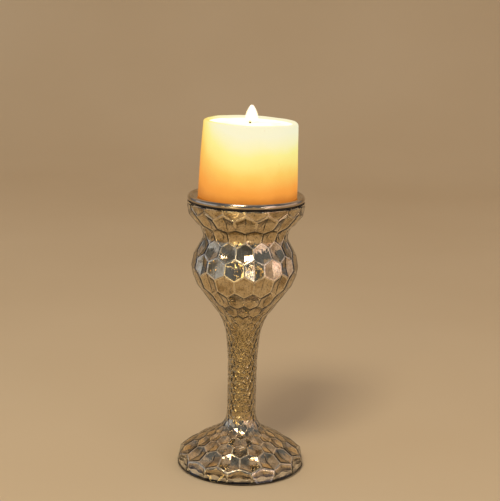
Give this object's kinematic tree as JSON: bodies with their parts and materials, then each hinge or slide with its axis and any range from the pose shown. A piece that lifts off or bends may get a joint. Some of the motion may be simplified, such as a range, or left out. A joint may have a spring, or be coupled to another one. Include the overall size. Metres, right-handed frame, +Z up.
{
  "type": "pillar candle holder",
  "caption": "Pedestal candle holder: mould-blown silvered glass with a honeycomb pattern, a loose metal pan on its mouth and a lit pillar candle",
  "frame": {"origin": "centre of the bottom face of the felt ring, on the surface that it stands on", "axes": "+Z up along the pedestal; the body is round, and the candle leans a little to +X"},
  "size_m": [0.101, 0.101, 0.2772],
  "materials": {
    "glass": "clear, mould-blown, honeycomb facets",
    "silvering": "aged silver mirror coat with fine dark flecks",
    "felt": "pressed felt",
    "pan_metal": "polished, nickel plated",
    "gasket": "matt black",
    "wax": "candle wax, translucent, softly satin",
    "wick": "braided cotton, charred at the tip",
    "tab_metal": "thin pressed sheet"
  },
  "bodies": {
    "holder": {"glass_body": "glass", "silver_lining": "silvering", "base_felt": "felt"},
    "pan": {"candle_pan": "pan_metal", "pan_collar": "pan_metal", "rim_gasket": "gasket"},
    "candle": {"candle_wax": "wax", "candle_wick": "wick", "wick_tab": "tab_metal"}
  },
  "joints": [
    {"name": "pan_lift", "type": "slide", "parent": "holder", "child": "pan", "axis": [0, 0, 1], "range_m": [0, 0.05]},
    {"name": "candle_lift", "type": "slide", "parent": "pan", "child": "candle", "axis": [0, 0, 1], "range_m": [0, 0.08]}
  ]
}
